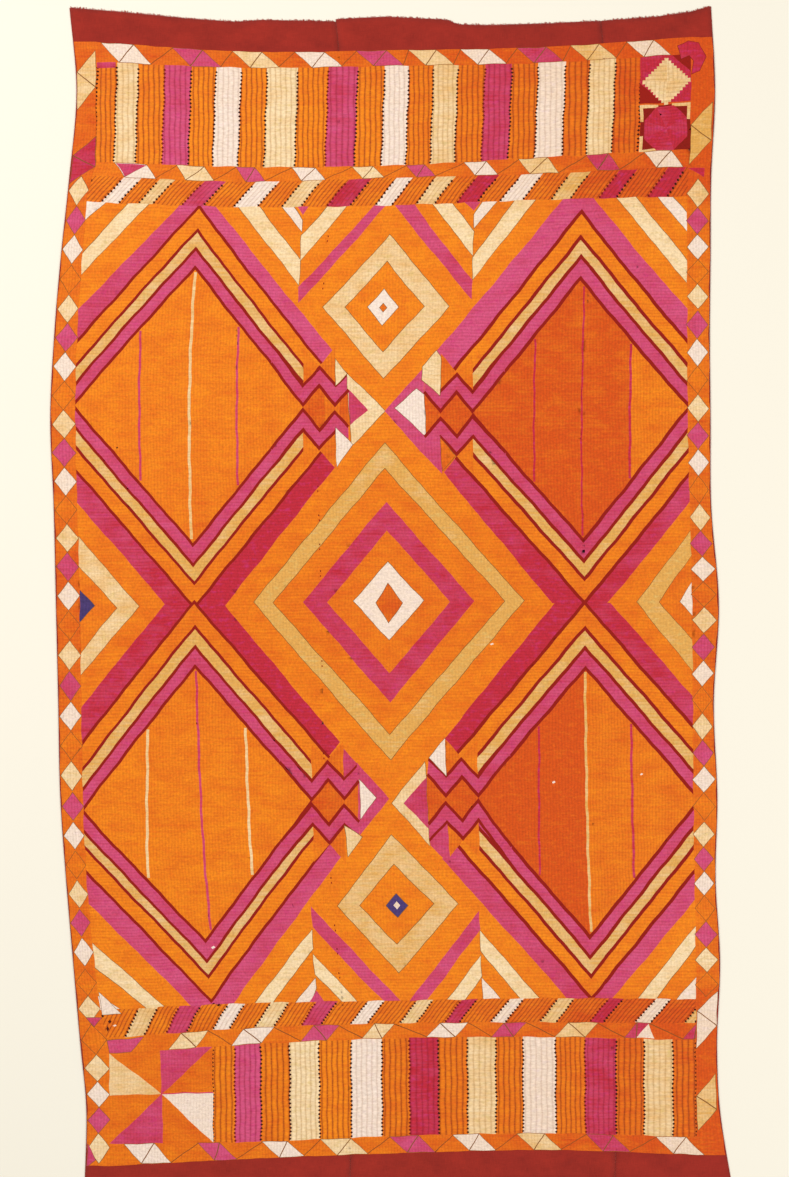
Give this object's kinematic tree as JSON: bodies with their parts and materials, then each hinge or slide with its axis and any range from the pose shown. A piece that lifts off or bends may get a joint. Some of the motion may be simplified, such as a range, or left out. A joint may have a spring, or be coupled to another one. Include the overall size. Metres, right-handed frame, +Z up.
{
  "type": "phulkari bagh shawl, laid flat",
  "caption": "Large rectangular shawl of hand-loomed cotton strips sewn edge to edge, darned all over with silk floss in nested lozenges and chevrons, lying flat.",
  "frame": {"origin": "middle of the box around the laid shawl, on the surface it lies on", "axes": "+X across the shawl to the right as seen from above, +Y along it towards the far end, +Z up"},
  "size_m": [1.363, 2.3712, 0.0027],
  "materials": {
    "khaddar": "matte madder-red cotton under satin orange silk floss"
  },
  "bodies": {
    "root": {"khaddar_left": "khaddar", "khaddar_middle": "khaddar", "khaddar_right": "khaddar"}
  },
  "joints": []
}
